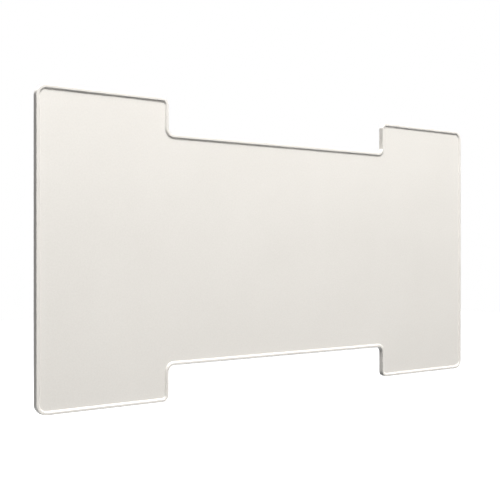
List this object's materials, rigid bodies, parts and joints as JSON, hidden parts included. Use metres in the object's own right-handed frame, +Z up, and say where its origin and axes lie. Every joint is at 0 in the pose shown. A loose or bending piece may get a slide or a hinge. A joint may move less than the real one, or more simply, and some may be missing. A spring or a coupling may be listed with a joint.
{
  "type": "desk privacy panel",
  "caption": "Flat off-white laminated privacy panel for a desk, with a wide notch in its top and bottom edges and a raised edge trim all round.",
  "frame": {"origin": "centre of the four bracket nuts, on the rear laminate's outer face", "axes": "+X along the panel's width, +Y out of the rear face, +Z up; the front faces -Y"},
  "size_m": [1.2, 0.012, 0.61],
  "materials": {
    "core": "raw medium-density fibreboard",
    "laminate": "fine matt high-pressure laminate",
    "trim": "satin extruded PVC",
    "nut": "bright zinc plated"
  },
  "bodies": {
    "root": {"core_board": "core", "front_laminate": "laminate", "rear_laminate": "laminate", "left_edge_trim": "trim", "right_edge_trim": "trim", "top_edge_trim": "trim", "bottom_edge_trim": "trim", "tee_nuts": "nut"}
  },
  "joints": []
}
